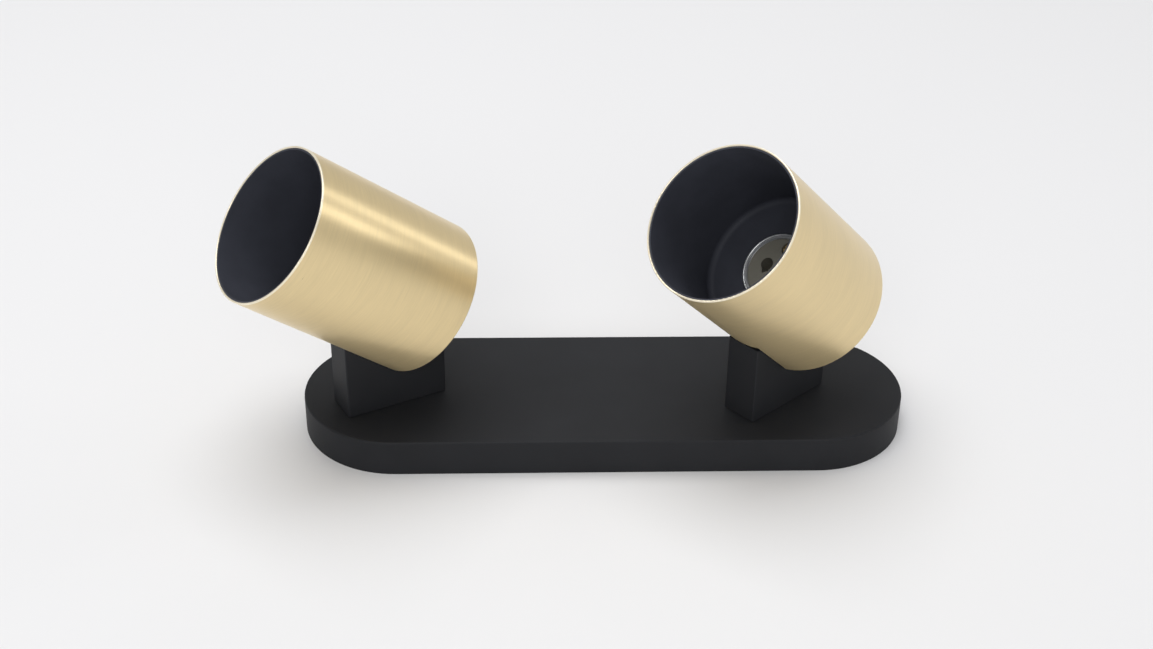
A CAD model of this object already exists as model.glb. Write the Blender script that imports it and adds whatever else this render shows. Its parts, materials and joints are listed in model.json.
"""Finishes of a spotlight with two heads on a long base plate, and the floor, lamps and camera round it."""

import json
from math import atan2, cos, radians, sin, sqrt, tan, tau
from typing import NamedTuple

import bmesh
import bpy
from bpy.props import FloatProperty, FloatVectorProperty, PointerProperty
from mathutils import Matrix, Vector


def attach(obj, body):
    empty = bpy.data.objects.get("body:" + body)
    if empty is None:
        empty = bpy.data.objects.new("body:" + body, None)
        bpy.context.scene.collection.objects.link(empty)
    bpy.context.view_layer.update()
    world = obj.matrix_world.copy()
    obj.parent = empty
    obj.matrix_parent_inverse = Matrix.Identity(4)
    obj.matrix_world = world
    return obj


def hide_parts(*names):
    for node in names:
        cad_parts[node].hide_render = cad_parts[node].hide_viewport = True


bl_info = {
    "name": "Two-headed spotlight",
    "version": (1, 0, 0),
    "blender": (4, 5, 0),
    "location": "View3D > Sidebar > Spotlight",
    "description": "Gives the packed spotlight its finishes, small parts, floor, lamps and camera",
    "category": "Object",
}

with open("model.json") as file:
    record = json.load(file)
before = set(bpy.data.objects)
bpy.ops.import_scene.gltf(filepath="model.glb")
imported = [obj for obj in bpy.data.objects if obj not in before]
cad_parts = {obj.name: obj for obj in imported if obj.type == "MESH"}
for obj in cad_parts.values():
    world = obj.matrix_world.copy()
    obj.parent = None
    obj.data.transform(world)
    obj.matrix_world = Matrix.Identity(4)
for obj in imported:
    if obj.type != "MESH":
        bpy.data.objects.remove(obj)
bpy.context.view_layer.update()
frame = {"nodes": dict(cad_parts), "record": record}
SIDES = ("left", "right")
MM = 0.001
UP = Vector((0, 0, 1))
# Width of the camera's sensor in millimetres
SENSOR_WIDTH = 36


# What a user would change

class CameraSettings(bpy.types.PropertyGroup):
    """The camera that sees the spotlight as the photograph does."""

    location: FloatVectorProperty(
        name="Location", description="Where the camera stands",
        subtype="TRANSLATION", unit="LENGTH", size=3, default=(-0.03667, -0.61606, 0.42856))
    pitch: FloatProperty(
        name="Pitch", description="How far the camera looks down", subtype="ANGLE", default=radians(31.779))
    yaw: FloatProperty(
        name="Yaw", description="Turn from +Y towards +X", subtype="ANGLE", default=radians(2.282))
    roll: FloatProperty(
        name="Roll", description="Turn about the line of sight", subtype="ANGLE", default=radians(0.861))
    focal_length: FloatProperty(
        name="Focal length", description=f"On a sensor {SENSOR_WIDTH} mm wide, in millimetres",
        unit="CAMERA", default=54.54)


class StageSettings(bpy.types.PropertyGroup):
    """Floor and lamps."""

    floor_colour: FloatVectorProperty(
        name="Floor", description="Colour of the floor", subtype="COLOR", size=3,
        default=(0.77, 0.77, 0.78))
    floor_size: FloatProperty(
        name="Floor size", description="Side of the square floor", unit="LENGTH", default=8.0)
    surroundings: FloatProperty(
        name="Surroundings", description="Strength of the even light from all round", default=0.47)
    top_power: FloatProperty(
        name="Top lamp", description="Power of the large soft lamp overhead", unit="POWER", default=25.0)
    side_power: FloatProperty(
        name="Side lamp", description="Power of the front one of the two tall lamps on the right",
        unit="POWER", default=3.6)
    front_power: FloatProperty(
        name="Front lamp", description="Power of the soft lamp behind and above the camera",
        unit="POWER", default=29.0)


class FinishSettings(bpy.types.PropertyGroup):
    """Colours and roughness of the finishes."""

    brass: FloatVectorProperty(
        name="Satin brass", description="Colour of the tubes", subtype="COLOR", size=3,
        default=(0.80, 0.64, 0.36))
    brass_roughness: FloatProperty(
        name="Brass roughness", description="Roughness of the brushed tubes", default=0.3)
    cut_edge: FloatVectorProperty(
        name="Cut edge", description="Colour of the tubes' bright cut edges", subtype="COLOR", size=3,
        default=(0.97, 0.88, 0.69))
    coat: FloatVectorProperty(
        name="Black coat", description="Colour of the plate and necks", subtype="COLOR", size=3,
        default=(0.016, 0.0168, 0.0195))
    coat_roughness: FloatProperty(
        name="Coat roughness", description="Roughness of the black coat", default=0.6)
    baffle: FloatVectorProperty(
        name="Baffle black", description="Colour inside the tubes", subtype="COLOR", size=3,
        default=(0.043, 0.046, 0.060))


# Shader maths

# A noise lies round its middle, and most of it between the low and the high value
NOISE_LOW, NOISE_MIDDLE, NOISE_HIGH = 0.35, 0.5, 0.65
# The colour sockets of a Mix node, which has sockets of other kinds under the same names
COLOUR_A, COLOUR_B, COLOUR_RESULT = 6, 7, 2


class Number:
    """A value that varies over a surface. Arithmetic on it adds Math nodes."""

    def __init__(self, finish, socket):
        self.finish = finish
        self.socket = socket

    def __add__(self, other):
        return self.finish.math("ADD", self, other)

    __radd__ = __add__

    def __sub__(self, other):
        return self.finish.math("SUBTRACT", self, other)

    def __rsub__(self, other):
        return self.finish.math("SUBTRACT", other, self)

    def __mul__(self, other):
        return self.finish.math("MULTIPLY", self, other)

    __rmul__ = __mul__


class Finish:
    """A material with one Principled shader and the nodes that feed it."""

    def __init__(self, name, **sockets):
        self.material = bpy.data.materials.new(name)
        self.material.use_nodes = True
        self.tree = self.material.node_tree
        self.shader = self.tree.nodes["Principled BSDF"]
        for socket, value in sockets.items():
            self.feed(self.shader.inputs[socket.replace("_", " ")], value)

    def feed(self, socket, value):
        """Links a number or another node's socket, or sets a plain value."""
        if isinstance(value, Number):
            value = value.socket
        if isinstance(value, bpy.types.NodeSocket):
            self.tree.links.new(value, socket)
        elif socket.type == "RGBA":
            socket.default_value = (*value[:3], 1)
        else:
            socket.default_value = value

    def node(self, kind, settings=None, inputs=None):
        """Adds a node, makes its settings and then feeds its sockets."""
        made = self.tree.nodes.new(kind)
        for name, value in (settings or {}).items():
            setattr(made, name, value)
        for key, value in (inputs or {}).items():
            self.feed(made.inputs[key], value)
        return made

    def math(self, operation, *values):
        made = self.node("ShaderNodeMath", {"operation": operation}, dict(enumerate(values)))
        return Number(self, made.outputs[0])

    def vector(self, operation, *values, scale=None):
        """Vector maths that gives a vector."""
        inputs = dict(enumerate(values))
        if scale is not None:
            inputs["Scale"] = scale
        made = self.node("ShaderNodeVectorMath", {"operation": operation}, inputs)
        return made.outputs["Vector"]

    def measure(self, operation, *values):
        """Vector maths that gives a number."""
        made = self.node("ShaderNodeVectorMath", {"operation": operation}, dict(enumerate(values)))
        return Number(self, made.outputs["Value"])

    def place(self):
        """The point on the surface, in the part's own metres."""
        return self.node("ShaderNodeTexCoord").outputs["Object"]

    def noise(self, place, size, detail=2.0, roughness=0.5):
        """Soft noise whose features are about size metres across."""
        made = self.node("ShaderNodeTexNoise", {"noise_dimensions": "3D"}, {
            "Vector": place, "Scale": 1 / size, "Detail": detail, "Roughness": roughness})
        return Number(self, made.outputs["Fac"])

    def stretched(self, place, axis, factor):
        """The place with its part along the axis multiplied, which turns noise to lines across it."""
        extra = self.measure("DOT_PRODUCT", place, axis) * (factor - 1)
        step = self.vector("SCALE", axis, scale=extra)
        return self.vector("ADD", place, step)

    def rise(self, value, low=NOISE_LOW, high=NOISE_HIGH):
        """0 up to the low value, 1 from the high one on, and a straight slope between them."""
        made = self.node("ShaderNodeMapRange", {"clamp": True}, {
            "Value": value, "From Min": low, "From Max": high})
        return Number(self, made.outputs["Result"])

    def mixed(self, share, a, b):
        """The colour a where share is 0 and b where it is 1."""
        made = self.node("ShaderNodeMix", {"data_type": "RGBA"}, {
            "Factor": share, COLOUR_A: a, COLOUR_B: b})
        return made.outputs[COLOUR_RESULT]

    def paint(self, colour):
        self.feed(self.shader.inputs["Base Color"], colour)

    def roughen(self, roughness):
        self.feed(self.shader.inputs["Roughness"], roughness)

    def bump(self, height, depth):
        """Surface relief, depth metres high where the height is 1."""
        made = self.node("ShaderNodeBump", None, {"Height": height, "Distance": depth})
        self.feed(self.shader.inputs["Normal"], made.outputs["Normal"])


def swing(noise, by):
    """A change that follows the noise, up and down from nothing at its middle."""
    return (noise - NOISE_MIDDLE) * by


def shade(colour, factor):
    """The colour made darker, or lighter up to white."""
    return tuple(min(1.0, part * factor) for part in colour)


# Finishes

def satin_brass(name, mouth, axis, settings):
    """Lacquered brass with fine brushing round the tube and a bright cut edge at its mouth."""
    finish = Finish(name, Metallic=0.6, IOR=1.5)
    place = finish.place()
    fine = finish.noise(finish.stretched(place, axis, factor=60), size=9 * MM, detail=3)
    lines = finish.noise(finish.stretched(place, axis, factor=24), size=12 * MM)
    broad = finish.noise(finish.stretched(place, axis, factor=6), size=22 * MM)
    cloud = finish.noise(place, size=35 * MM, detail=3)
    cloud_share, broad_share, lines_share, fine_share = 0.3, 0.2, 0.35, 0.15
    tone = cloud * cloud_share + broad * broad_share + lines * lines_share + fine * fine_share
    height = finish.measure("DOT_PRODUCT", finish.vector("SUBTRACT", place, mouth), axis)
    edge = finish.rise(height, low=-0.35 * MM, high=-0.1 * MM)
    darkest, lightest = shade(settings.brass, factor=0.93), shade(settings.brass, factor=1.05)
    brushed = finish.mixed(finish.rise(tone), darkest, lightest)
    finish.paint(finish.mixed(edge, brushed, settings.cut_edge))
    finish.roughen(settings.brass_roughness + swing(lines, by=0.06) + swing(cloud, by=0.05))
    finish.bump(fine, depth=0.0008 * MM)
    return finish.material


def black_coat(name, settings):
    """Matt powder coat with a faint orange peel."""
    finish = Finish(name, Metallic=0.0, IOR=1.5, Specular_IOR_Level=0.2)
    place = finish.place()
    peel = finish.noise(place, size=0.55 * MM)
    grain = finish.noise(place, size=0.16 * MM, detail=1)
    cloud = finish.noise(place, size=30 * MM, detail=3)
    broad_share, grain_share = 0.7, 0.3
    tone = cloud * broad_share + grain * grain_share
    darkest, lightest = shade(settings.coat, factor=0.88), shade(settings.coat, factor=1.14)
    finish.paint(finish.mixed(finish.rise(tone), darkest, lightest))
    finish.roughen(settings.coat_roughness + swing(grain, by=0.14) + swing(cloud, by=0.08))
    finish.bump(peel * broad_share + grain * grain_share, depth=0.02 * MM)
    return finish.material


def baffle_black(name, settings):
    """Matt black paint that swallows stray light."""
    finish = Finish(name, Metallic=0.0, IOR=1.45, Specular_IOR_Level=0.3)
    place = finish.place()
    grain = finish.noise(place, size=0.3 * MM)
    cloud = finish.noise(place, size=12 * MM, detail=3)
    darkest, lightest = shade(settings.baffle, factor=0.8), shade(settings.baffle, factor=1.25)
    roughness = 0.62
    finish.paint(finish.mixed(cloud, darkest, lightest))
    finish.roughen(roughness + swing(grain, by=0.2))
    finish.bump(grain, depth=0.02 * MM)
    return finish.material


def turned_face(name, middle, axis, settings):
    """Brass faced on a lathe: fine rings round the axis."""
    finish = Finish(name, Metallic=0.6, IOR=1.5)
    place = finish.place()
    arm = finish.vector("CROSS_PRODUCT", finish.vector("SUBTRACT", place, middle), axis)
    fineness = 30
    spread = finish.vector("SCALE", axis, scale=finish.measure("LENGTH", arm) * fineness)
    rings = finish.noise(spread, size=9 * MM, detail=3)
    cloud = finish.noise(place, size=30 * MM)
    cloud_share, rings_share = 0.5, 0.5
    darkest, lightest = shade(settings.brass, factor=0.94), shade(settings.brass, factor=1.03)
    extra_roughness = 0.04
    finish.paint(finish.mixed(cloud * cloud_share + rings * rings_share, darkest, lightest))
    finish.roughen(
        settings.brass_roughness + extra_roughness + swing(rings, by=0.16) + swing(cloud, by=0.06))
    finish.bump(rings, depth=0.012 * MM)
    return finish.material


def plated_steel(name, metallic=1.0):
    """Zinc-plated sheet and fasteners: drawn lines under a thin, slightly cloudy plating."""
    finish = Finish(name, Metallic=metallic)
    place = finish.place()
    lines = finish.noise(finish.stretched(place, axis=(0, 1, 0), factor=30), size=8 * MM)
    cloud = finish.noise(place, size=6 * MM, detail=4, roughness=0.6)
    darkest, lightest, roughness = (0.56, 0.57, 0.59), (0.66, 0.67, 0.67), 0.30
    finish.paint(finish.mixed(finish.rise(cloud), darkest, lightest))
    finish.roughen(roughness + swing(cloud, by=0.14) + swing(lines, by=0.12))
    finish.bump(lines, depth=0.006 * MM)
    return finish.material


def turned_brass(name):
    """Bare machined brass of small contacts and screws."""
    finish = Finish(name, Metallic=1.0)
    place = finish.place()
    turning = finish.noise(place, size=0.2 * MM)
    tarnish = finish.noise(place, size=2 * MM, detail=3)
    bright, tarnished, roughness = (0.74, 0.56, 0.26), (0.60, 0.43, 0.19), 0.28
    finish.paint(finish.mixed(finish.rise(tarnish, low=0.4, high=0.7), bright, tarnished))
    finish.roughen(roughness + swing(turning, by=0.1) + swing(tarnish, by=0.14))
    finish.bump(turning, depth=0.003 * MM)
    return finish.material


def moulded(name, colour, roughness, grain_size, relief, spread=0.12):
    """A moulded, fired or extruded material with its own grain. The spread is that of its colour."""
    finish = Finish(name, Metallic=0.0, IOR=1.5)
    place = finish.place()
    cloud_to_grain = 14
    grain = finish.noise(place, size=grain_size, detail=3, roughness=0.6)
    cloud = finish.noise(place, size=grain_size * cloud_to_grain)
    cloud_share, grain_share = 0.6, 0.4
    darkest, lightest = shade(colour, 1 - spread), shade(colour, 1 + spread)
    finish.paint(finish.mixed(cloud * cloud_share + grain * grain_share, darkest, lightest))
    finish.roughen(roughness + swing(grain, by=0.18))
    finish.bump(grain, relief)
    return finish.material


def woven_sleeve(name):
    """Glass-fibre sleeve: two families of crossing threads."""
    finish = Finish(name, Metallic=0.0)
    place = finish.place()

    def family(lean):
        wave = finish.node("ShaderNodeTexWave", {"wave_type": "BANDS", "bands_direction": "DIAGONAL"}, {
            "Vector": finish.vector("MULTIPLY", place, (lean, 1, 1)), "Scale": 340, "Distortion": 0.4})
        return Number(finish, wave.outputs["Fac"])

    threads = finish.math("MAXIMUM", family(1), family(-1))
    gaps, crowns = (0.42, 0.41, 0.37), (0.74, 0.73, 0.69)
    gap_roughness, crown_polish = 0.85, 0.2
    finish.paint(finish.mixed(threads, gaps, crowns))
    finish.roughen(gap_roughness - threads * crown_polish)
    finish.bump(threads, depth=0.12 * MM)
    return finish.material


def dress(material, slot, *nodes):
    """Gives CAD nodes their finish and its slot."""
    for node in nodes:
        piece = frame["nodes"][node]
        piece.data.materials.clear()
        piece.data.materials.append(material)


# Names and places in the frame

def of_sides(*parts):
    """The names of nodes that both sides have."""
    return [f"{side}_{part}" for side in SIDES for part in parts]


def lamp_well(side):
    """The record's mount for the room that a lamp has in the tube."""
    return next(mount for mount in frame["record"]["mounts"] if mount["name"] == side + "_lamp_well")


def tube_axis(side):
    """The way that the tube points."""
    return Vector(lamp_well(side)["axis"]).normalized()


def tube_mouth(side):
    """Middle of the tube's mouth."""
    well = lamp_well(side)
    return Vector(well["pos_m"]) + tube_axis(side) * well["dims"]["length_mm"] * MM / 2


# Turned and cut pieces

# Points of a node that are closer than this many metres are one point
WELD = 1e-6
# An axis whose lean off upright has a smaller sine than this counts as upright
UPRIGHT_LEAN = 0.01


class Bar:
    """One solid of a node: its middle line, its ends along the axis, its radius and its furthest corner."""

    def __init__(self, points, axis):
        self.axis = Vector(axis).normalized()
        level = self.axis.cross(UP)
        self.across = level.normalized() if level.length > UPRIGHT_LEAN else Vector((1, 0, 0))
        self.other = self.axis.cross(self.across)
        spans = []
        for way in (self.across, self.other, self.axis):
            places = [point.dot(way) for point in points]
            spans.append((min(places), max(places)))
        self.middle = self.across * sum(spans[0]) / 2 + self.other * sum(spans[1]) / 2
        self.radius = (spans[0][1] - spans[0][0]) / 2
        self.low, self.high = spans[2]
        arms = [point - self.middle - self.axis * point.dot(self.axis) for point in points]
        longest = max(arms, key=lambda arm: arm.length)
        self.reach = longest.length
        self.corner = atan2(longest.dot(self.other), longest.dot(self.across))

    def at(self, height, radius=0.0, angle=0.0):
        """The point at a height along the axis and a radius off it."""
        arm = self.across * cos(angle) + self.other * sin(angle)
        return self.middle + self.axis * height + arm * radius


def bars(node, axis, outward=False):
    """The separate solids of a node, measured along an axis.

    With outward, each axis points off the origin."""
    mesh = bmesh.new()
    mesh.from_mesh(frame["nodes"][node].data)
    bmesh.ops.remove_doubles(mesh, verts=mesh.verts, dist=WELD)
    left = set(mesh.verts)
    found = []
    while left:
        island, edge = set(), [left.pop()]
        while edge:
            vertex = edge.pop()
            island.add(vertex)
            near = {link.other_vert(vertex) for link in vertex.link_edges} & left
            left -= near
            edge.extend(near)
        points = [vertex.co.copy() for vertex in island]
        inwards = outward and points[0].dot(Vector(axis)) < 0
        found.append(Bar(points, -Vector(axis) if inwards else axis))
    mesh.free()
    return found


def lathe(mesh, bar, rows, steps, closed=False, start=0.0):
    """Revolves rows of (height, radius) round the bar's axis.

    A radius may depend on the angle from the start."""
    angles = [tau * step / steps for step in range(steps)]
    loops = []
    for height, radius in rows:
        if radius == 0:
            loops.append([mesh.verts.new(bar.at(height))] * steps)
            continue
        loops.append([
            mesh.verts.new(bar.at(height, radius(angle) if callable(radius) else radius, start + angle))
            for angle in angles])
    pairs = list(zip(loops, loops[1:]))
    if closed:
        pairs.append((loops[-1], loops[0]))
    for low, high in pairs:
        for step in range(steps):
            after = (step + 1) % steps
            corners = []
            for vertex in (low[step], low[after], high[after], high[step]):
                if vertex not in corners:
                    corners.append(vertex)
            if len(corners) > 2:
                mesh.faces.new(corners)


def block(mesh, bar, height, size, turn=0.0, side=0.0):
    """A box of size (along, wide, tall) that stands on a height of the bar, turned about the axis."""
    along, wide, tall = size
    way = bar.across * cos(turn) + bar.other * sin(turn)
    square = bar.axis.cross(way)
    middle = bar.middle + way * side + bar.axis * (height + tall / 2)
    turned = Matrix((way * along, square * wide, bar.axis * tall)).transposed().to_4x4()
    bmesh.ops.create_cube(mesh, size=1, matrix=Matrix.Translation(middle) @ turned)


def finished(mesh, name, material, slot, body, *nodes):
    """Turns a mesh into a piece that rides on a body and stands for its nodes."""
    bmesh.ops.recalc_face_normals(mesh, faces=mesh.faces)
    data = bpy.data.meshes.new(name)
    mesh.to_mesh(data)
    mesh.free()
    data.materials.append(material)
    piece = bpy.data.objects.new(name, data)
    bpy.context.collection.objects.link(piece)
    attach(piece, body)
    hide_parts(*nodes)
    return piece


def smoothed(piece, angle=radians(32)):
    """Smooths the shading across edges that bend less than the angle."""
    piece.data.shade_smooth()
    piece.data.set_sharp_from_angle(angle=angle)


def carved(piece, cutter):
    """Cuts a mesh out of a piece."""
    if not cutter.faces:
        cutter.free()
        return
    bmesh.ops.recalc_face_normals(cutter, faces=cutter.faces)
    data = bpy.data.meshes.new("cutter")
    cutter.to_mesh(data)
    cutter.free()
    tool = bpy.data.objects.new("cutter", data)
    bpy.context.collection.objects.link(tool)
    cut = piece.modifiers.new("cut", "BOOLEAN")
    cut.operation = "DIFFERENCE"
    cut.solver = "EXACT"
    cut.object = tool
    graph = bpy.context.evaluated_depsgraph_get()
    result = bpy.data.meshes.new_from_object(piece.evaluated_get(graph))
    piece.modifiers.remove(cut)
    old, piece.data = piece.data, result
    result.name = piece.name
    bpy.data.meshes.remove(old)
    bpy.data.objects.remove(tool)


# Screws, nuts and rings

class Screw(NamedTuple):
    """A kind of screw, whose recess is a slot, a cross, a hexagon or none.

    The plain length is the part of the shank under the head that has no thread."""

    head_radius: float
    head_height: float
    shank_radius: float
    pitch: float
    recess: str = ""
    recess_width: float = 0.0
    recess_depth: float = 0.0
    countersunk: bool = False
    plain_length: float = 0.0


CAP_SCREW = Screw(
    head_radius=2.8 * MM, head_height=1.3 * MM, shank_radius=1.5 * MM, pitch=0.5 * MM,
    recess="cross", recess_width=0.75 * MM, recess_depth=0.8 * MM, countersunk=True)
CHEESE_HEAD_SCREW = Screw(
    head_radius=2.6 * MM, head_height=1.8 * MM, shank_radius=1.5 * MM, pitch=0.5 * MM,
    recess="slot", recess_width=0.8 * MM, recess_depth=0.7 * MM)
EARTH_STUD = Screw(
    head_radius=2 * MM, head_height=0.4 * MM, shank_radius=2 * MM, pitch=0.7 * MM, countersunk=True)
SET_SCREW = Screw(
    head_radius=2 * MM, head_height=0.3 * MM, shank_radius=2 * MM, pitch=0.7 * MM,
    recess="hexagon", recess_width=2 * MM, recess_depth=2 * MM, countersunk=True)
CLAMPING_SCREW = Screw(
    head_radius=1.6 * MM, head_height=1.4 * MM, shank_radius=1.2 * MM, pitch=0.45 * MM,
    recess="slot", recess_width=0.5 * MM, recess_depth=0.6 * MM)
BLOCK_SCREW = Screw(
    head_radius=1.8 * MM, head_height=1.5 * MM, shank_radius=1.25 * MM, pitch=0.45 * MM,
    recess="cross", recess_width=0.6 * MM, recess_depth=0.7 * MM)
TILT_BOLT = Screw(
    head_radius=3.5 * MM, head_height=2.6 * MM, shank_radius=2 * MM, pitch=0.7 * MM,
    recess="hexagon", recess_width=2.5 * MM, recess_depth=1.4 * MM, plain_length=20 * MM)

# Points round a screw, and rows of points on one turn of its thread
SCREW_STEPS, THREAD_ROWS = 32, 5
# Depth of a thread as a share of its pitch
THREAD_DEPTH = 0.5
# Chamfer at the tip, as a share of the shank's radius
TIP_CHAMFER = 0.28
# Chamfer round a head: its largest width, and its largest width as a share of the head's height
HEAD_CHAMFER, CHAMFER_SHARE = 0.25 * MM, 0.25
# Height of the chamfer round a countersunk head, as a share of its width
LOW_CHAMFER = 0.6
# Length of a slot and of a cross, in radii of the head
SLOT_LENGTH, CROSS_LENGTH = 3, 1.15

# Radius of the hole in the nuts of the stud and tilt bolt, and in the nut of the nipple
SMALL_NUT_BORE, NIPPLE_NUT_BORE = 2 * MM, 5 * MM


def thread(radius, pitch, low, high):
    """Rows of a screw thread between two heights, which fades out at both."""
    count = round((high - low) / pitch * THREAD_ROWS)

    def groove(height):
        fade = min(1.0, min(height - low, high - height) / pitch)
        depth = pitch * THREAD_DEPTH * fade
        return lambda angle: radius - depth * (1 + cos(tau * height / pitch - angle)) / 2

    heights = [low + (high - low) * row / count for row in range(count + 1)]
    return [(height, groove(height)) for height in heights]


def screws(name, node, axis, kind, material, slot, body, outward=False):
    """Threaded screws in place of a node's plain ones. The axis points out of their heads."""
    mesh, cutter, second_cutter = bmesh.new(), bmesh.new(), bmesh.new()
    head, shank = kind.head_radius, kind.shank_radius
    width, depth = kind.recess_width, kind.recess_depth
    edge = min(HEAD_CHAMFER, kind.head_height * CHAMFER_SHARE)
    for bar in bars(node, axis, outward):
        under = bar.high - kind.head_height
        rows = [(bar.low, 0), (bar.low, shank * (1 - TIP_CHAMFER))]
        rows += thread(shank, kind.pitch, bar.low + shank * TIP_CHAMFER, under - kind.plain_length)
        if kind.plain_length:
            rows += [(under, shank)]
        if not kind.countersunk:
            rows += [(under, head)]
        rim = bar.high - (edge * LOW_CHAMFER if kind.countersunk else edge)
        rows += [(rim, head), (bar.high, head - edge), (bar.high, 0)]
        lathe(mesh, bar, rows, SCREW_STEPS)
        floor, tall = bar.high - depth, depth + head
        if kind.recess == "slot":
            block(cutter, bar, floor, (head * SLOT_LENGTH, width, tall))
        elif kind.recess == "cross":
            block(cutter, bar, floor, (head * CROSS_LENGTH, width, tall))
            block(second_cutter, bar, floor, (width, head * CROSS_LENGTH, tall))
        elif kind.recess == "hexagon":
            corner = width / sqrt(3)
            lathe(cutter, bar, [(floor, 0), (floor, corner), (floor + tall, corner), (floor + tall, 0)],
                  steps=6)
    piece = finished(mesh, name, material, slot, body, node)
    carved(piece, cutter)
    carved(piece, second_cutter)
    smoothed(piece)


def nut(name, node, axis, bore, material, slot, body):
    """A hexagon nut with chamfered corners in place of a node's plain one."""
    bar = bars(node, axis)[0]
    half_side, face_share, slope = radians(30), 0.95, tan(radians(60))
    flat = bar.reach * cos(half_side)
    face = flat * face_share
    depth = (bar.reach - face) / slope
    lead_in, chamfer_steps = 0.3 * MM, 4

    def outline(below_face):
        return lambda angle: min(flat / cos(angle % (2 * half_side) - half_side), face + slope * below_face)

    chamfer = [depth * step / chamfer_steps for step in range(chamfer_steps + 1)]
    rows = [(bar.low + below, outline(below)) for below in chamfer]
    rows += [(bar.high - below, outline(below)) for below in reversed(chamfer)]
    rows += [(bar.high, bore + lead_in), (bar.high - lead_in, bore), (bar.low + lead_in, bore),
             (bar.low, bore + lead_in)]
    mesh = bmesh.new()
    lathe(mesh, bar, rows, steps=72, closed=True, start=bar.corner)
    smoothed(finished(mesh, name, material, slot, body, node), angle=radians(20))


def clamp_ring(name, node, axis, material, slot, body):
    """Ring with a bead along its rim and notches for a pin spanner, in place of a node's plain one."""
    bar = bars(node, axis)[0]
    inner, outer = 13.05 * MM, bar.radius
    edge, bead, notch = 0.3 * MM, 0.55 * MM, 1.3 * MM
    bead_steps, notches = 8, 6
    profile = [(bar.low, inner), (bar.low, outer - edge), (bar.low + edge, outer)]
    for step in range(bead_steps + 1):
        angle = radians(180 * step / bead_steps)
        profile.append((bar.high - bead + bead * sin(angle), outer - bead + bead * cos(angle)))
    profile += [(bar.high - bead, inner + edge), (bar.high - bead - edge, inner)]
    mesh, cutter = bmesh.new(), bmesh.new()
    lathe(mesh, bar, profile, steps=96, closed=True)
    for count in range(notches):
        turn = radians(360 * (count + 1 / 2) / notches)
        block(cutter, bar, bar.high - notch / 2, (notch, notch, 2 * notch), turn, side=outer)
    piece = finished(mesh, name, material, slot, body, node)
    carved(piece, cutter)
    smoothed(piece)


# Pieces, one operator for each group

class SPOTLIGHT_OT_black_parts(bpy.types.Operator):
    """Cover of the base plate and the two necks"""

    bl_idname = "spotlight.black_parts"
    bl_label = "Plate and necks"

    def execute(self, context):
        settings = context.scene.spotlight_finish
        dress(black_coat("black_coat", settings), "black_coat", "canopy", *of_sides("neck"))
        return {"FINISHED"}


class SPOTLIGHT_OT_tubes(bpy.types.Operator):
    """Brass tubes, their back caps and the caps' screws"""

    bl_idname = "spotlight.tubes"
    bl_label = "Tubes and caps"

    def execute(self, context):
        settings = context.scene.spotlight_finish
        for side in SIDES:
            mouth, axis = tube_mouth(side), tube_axis(side)
            brass = satin_brass(side + "_satin_brass", mouth, axis, settings)
            faced = turned_face(side + "_turned_brass", mouth, axis, settings)
            dress(brass, "satin_brass", side + "_tube")
            dress(faced, "satin_brass", side + "_back_cap")
            screws(side + "_cap_screws", side + "_yoke_screws", -axis, CAP_SCREW,
                   faced, "satin_brass", side + "_head")
        return {"FINISHED"}


class SPOTLIGHT_OT_baffles(bpy.types.Operator):
    """Black cups inside the tubes"""

    bl_idname = "spotlight.baffles"
    bl_label = "Baffle cups"

    def execute(self, context):
        settings = context.scene.spotlight_finish
        dress(baffle_black("baffle_black", settings), "baffle_black", *of_sides("baffle_cup"))
        return {"FINISHED"}


class SPOTLIGHT_OT_lampholders(bpy.types.Operator):
    """Ceramic lampholders with rings, screws, contacts and leads, and the brass parts in the base"""

    bl_idname = "spotlight.lampholders"
    bl_label = "Lampholders and brass"

    def execute(self, context):
        ceramic = moulded("cream_ceramic", (0.20, 0.19, 0.155), roughness=0.55,
                          grain_size=0.5 * MM, relief=0.03 * MM)
        dress(ceramic, "cream_ceramic", *of_sides("lampholder"))
        brass = turned_brass("bright_brass")
        dress(brass, "bright_brass", *of_sides("lampholder_contacts"), "terminal_clamps")
        screws("threaded_stud", "earth_stud", UP, EARTH_STUD, brass, "bright_brass", "base")
        nut("stud_nut", "earth_nut", UP, SMALL_NUT_BORE, brass, "bright_brass", "base")
        dress(woven_sleeve("white_sleeve"), "white_sleeve", *of_sides("lampholder_leads", "neck_cable"))
        steel = plated_steel("ring_plate", metallic=0.85)
        for side in SIDES:
            axis, head = tube_axis(side), side + "_head"
            screws(side + "_cheese_head_screws", side + "_lampholder_screws", axis, CHEESE_HEAD_SCREW,
                   brass, "bright_brass", head)
            clamp_ring(side + "_clamp_ring", side + "_lampholder_ring", axis, steel, "zinc_plate", head)
        return {"FINISHED"}


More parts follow.
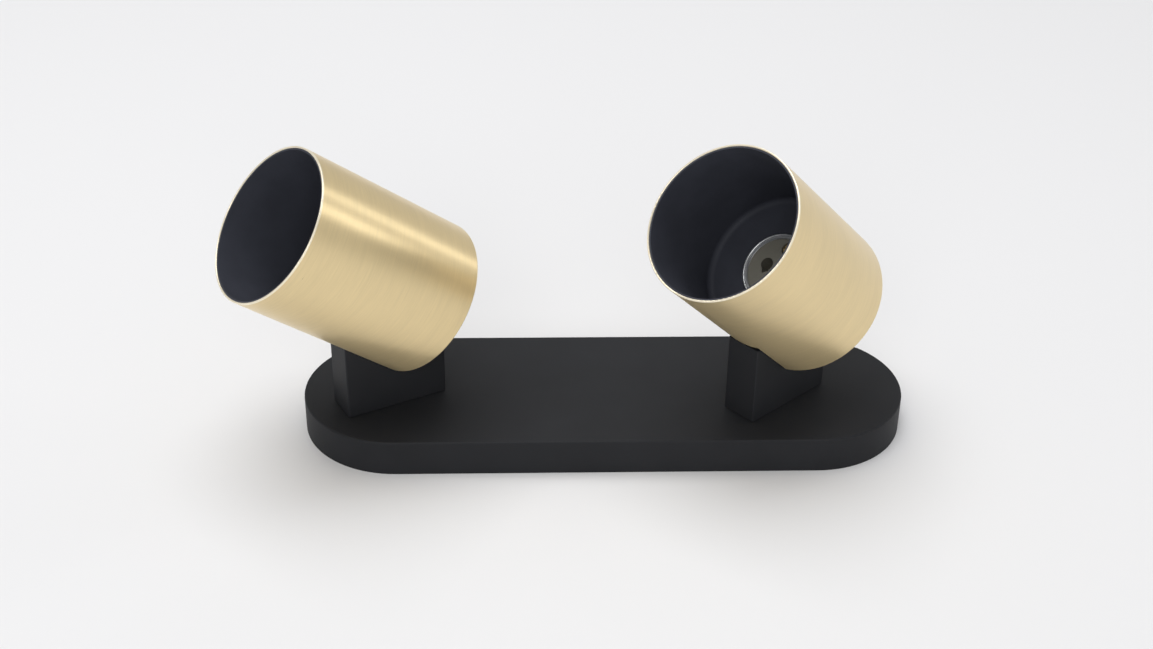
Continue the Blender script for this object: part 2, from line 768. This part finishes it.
class SPOTLIGHT_OT_steel_parts(bpy.types.Operator):
    """Bracket, nuts, washers, bolts and yokes"""

    bl_idname = "spotlight.steel_parts"
    bl_label = "Steel parts"

    def execute(self, context):
        steel = plated_steel("zinc_plate")
        dress(steel, "zinc_plate", "mounting_bracket", "earth_ring", "swivel_stop_studs",
              *of_sides("swivel_nipple", "stop_washer", "spring_washer", "tilt_yoke"))
        along = (1, 0, 0)
        screws("cover_set_screws", "bracket_grub_screws", along, SET_SCREW, steel, "zinc_plate", "base",
               outward=True)
        screws("clamping_screws", "terminal_screws", UP, CLAMPING_SCREW, steel, "zinc_plate", "base")
        screws("block_screws", "terminal_fixing_screws", UP, BLOCK_SCREW, steel, "zinc_plate", "base")
        for side in SIDES:
            tilt_axis, neck, head = tube_axis(side).cross(UP), side + "_neck", side + "_head"
            nut(side + "_hexagon_nut", side + "_swivel_nut", UP, NIPPLE_NUT_BORE,
                steel, "zinc_plate", neck)
            nut(side + "_bolt_nut", side + "_tilt_nut", tilt_axis, SMALL_NUT_BORE,
                steel, "zinc_plate", head)
            screws(side + "_socket_head_bolt", side + "_tilt_bolt", -tilt_axis, TILT_BOLT,
                   steel, "zinc_plate", head)
        return {"FINISHED"}


class SPOTLIGHT_OT_plastic_parts(bpy.types.Operator):
    """Terminal block, grommet, washers and wires"""

    bl_idname = "spotlight.plastic_parts"
    bl_label = "Plastic parts and wires"

    def execute(self, context):
        white = moulded("white_nylon", (0.72, 0.72, 0.68), roughness=0.42,
                        grain_size=0.4 * MM, relief=0.01 * MM, spread=0.05)
        dress(white, "white_nylon", "terminal_block")
        black = moulded("black_nylon", (0.02, 0.02, 0.022), roughness=0.45,
                        grain_size=0.4 * MM, relief=0.01 * MM)
        dress(black, "black_nylon", *of_sides("slide_washers"))
        rubber = moulded("grommet_rubber", (0.035, 0.035, 0.036), roughness=0.7,
                         grain_size=0.4 * MM, relief=0.03 * MM)
        dress(rubber, "grommet_rubber", "cable_grommet")
        fibre = moulded("washer_fibre", (0.09, 0.07, 0.06), roughness=0.8,
                        grain_size=0.3 * MM, relief=0.03 * MM)
        dress(fibre, "washer_fibre", *of_sides("friction_washers"))
        for wire, slot, colour in (
                ("live_leads", "brown_insulation", (0.16, 0.065, 0.03)),
                ("neutral_leads", "blue_insulation", (0.04, 0.13, 0.48)),
                ("earth_leads", "green_insulation", (0.16, 0.36, 0.05))):
            insulation = moulded(slot, colour, roughness=0.35,
                                 grain_size=0.5 * MM, relief=0.01 * MM, spread=0.06)
            dress(insulation, slot, wire)
        return {"FINISHED"}


# Stage

class Lamp(NamedTuple):
    """Where a rectangular lamp stands, and the width and height of its face."""

    place: tuple
    size: tuple


TOP_LAMP = Lamp(place=(-0.3, 0.2, 1.95), size=(1.5, 1.5))
SIDE_LAMP_FRONT = Lamp(place=(2.75, 0.32, 0.88), size=(0.45, 0.75))
SIDE_LAMP_BACK = Lamp(place=(2.4, 1.4, 0.95), size=(0.45, 0.75))
FRONT_LAMP = Lamp(place=(-0.35, -2.7, 1.6), size=(2.0, 1.4))
# Power of the back lamp on the right as a share of the front one's
BACK_SHARE = 0.75
# What all lamps point at
LAMP_TARGET = Vector((0, 0, 0.05))


class SPOTLIGHT_OT_stage(bpy.types.Operator):
    """Pale floor, soft lamps and the camera of the photograph"""

    bl_idname = "spotlight.stage"
    bl_label = "Stage"

    def execute(self, context):
        scene = context.scene
        stage = scene.spotlight_stage
        self.add_floor(stage)
        self.add_surroundings(scene, stage)
        self.add_lamp("top_lamp", TOP_LAMP, stage.top_power)
        self.add_lamp("side_lamp_front", SIDE_LAMP_FRONT, stage.side_power)
        self.add_lamp("side_lamp_back", SIDE_LAMP_BACK, stage.side_power * BACK_SHARE)
        self.add_lamp("front_lamp", FRONT_LAMP, stage.front_power)
        self.add_camera(scene, scene.spotlight_camera)
        scene.view_settings.view_transform = "Standard"
        return {"FINISHED"}

    def add_floor(self, stage):
        half = stage.floor_size / 2
        mesh = bpy.data.meshes.new("floor")
        corners = [(-half, -half, 0), (half, -half, 0), (half, half, 0), (-half, half, 0)]
        mesh.from_pydata(corners, [], [(0, 1, 2, 3)])
        floor = bpy.data.objects.new("floor", mesh)
        bpy.context.collection.objects.link(floor)
        paper = Finish(
            "floor_paper", Base_Color=stage.floor_colour, Roughness=0.9, Specular_IOR_Level=0.0)
        mesh.materials.append(paper.material)

    def add_surroundings(self, scene, stage):
        """The even light from all round."""
        world = bpy.data.worlds.new("studio")
        world.use_nodes = True
        scene.world = world
        background = world.node_tree.nodes["Background"]
        background.inputs["Color"].default_value = (1, 1, 1, 1)
        background.inputs["Strength"].default_value = stage.surroundings

    def add_lamp(self, name, shape, power):
        """A rectangular lamp that faces the target."""
        data = bpy.data.lights.new(name, "AREA")
        data.shape = "RECTANGLE"
        data.size, data.size_y = shape.size
        data.energy = power
        lamp = bpy.data.objects.new(name, data)
        lamp.location = shape.place
        lamp.rotation_euler = (LAMP_TARGET - lamp.location).to_track_quat("-Z", "Y").to_euler()
        bpy.context.collection.objects.link(lamp)

    def add_camera(self, scene, settings):
        data = bpy.data.cameras.new("camera")
        data.sensor_fit = "HORIZONTAL"
        data.sensor_width = SENSOR_WIDTH
        data.lens = settings.focal_length
        camera = bpy.data.objects.new("camera", data)
        pitch, yaw, roll = settings.pitch, settings.yaw, settings.roll
        ahead = Vector((sin(yaw) * cos(pitch), cos(yaw) * cos(pitch), -sin(pitch)))
        right = Vector((cos(yaw), -sin(yaw), 0))
        up = right.cross(ahead)
        across = cos(roll) * right + sin(roll) * up
        upright = cos(roll) * up - sin(roll) * right
        turn = Matrix((across, upright, -ahead)).transposed().to_4x4()
        camera.matrix_world = Matrix.Translation(settings.location) @ turn
        bpy.context.collection.objects.link(camera)
        scene.camera = camera


class SPOTLIGHT_PT_panel(bpy.types.Panel):
    """Settings and steps of the spotlight"""

    bl_label = "Spotlight"
    bl_space_type = "VIEW_3D"
    bl_region_type = "UI"
    bl_category = "Spotlight"

    def draw(self, context):
        scene = context.scene
        for settings in (scene.spotlight_finish, scene.spotlight_stage, scene.spotlight_camera):
            box = self.layout.box()
            for name in settings.__annotations__:
                box.prop(settings, name)
        for step in STEPS:
            self.layout.operator(step.bl_idname)


STEPS = (
    SPOTLIGHT_OT_black_parts, SPOTLIGHT_OT_tubes, SPOTLIGHT_OT_baffles, SPOTLIGHT_OT_lampholders,
    SPOTLIGHT_OT_steel_parts, SPOTLIGHT_OT_plastic_parts, SPOTLIGHT_OT_stage,
)
SETTINGS = {
    "spotlight_camera": CameraSettings,
    "spotlight_stage": StageSettings,
    "spotlight_finish": FinishSettings,
}


def register():
    for group in SETTINGS.values():
        bpy.utils.register_class(group)
    for name, group in SETTINGS.items():
        setattr(bpy.types.Scene, name, PointerProperty(type=group))
    for step in (*STEPS, SPOTLIGHT_PT_panel):
        bpy.utils.register_class(step)


def unregister():
    for step in reversed((*STEPS, SPOTLIGHT_PT_panel)):
        bpy.utils.unregister_class(step)
    for name, group in SETTINGS.items():
        delattr(bpy.types.Scene, name)
        bpy.utils.unregister_class(group)


def main():
    register()
    for step in STEPS:
        area, name = step.bl_idname.split(".")
        getattr(getattr(bpy.ops, area), name)()


if __name__ == "__main__":
    main()
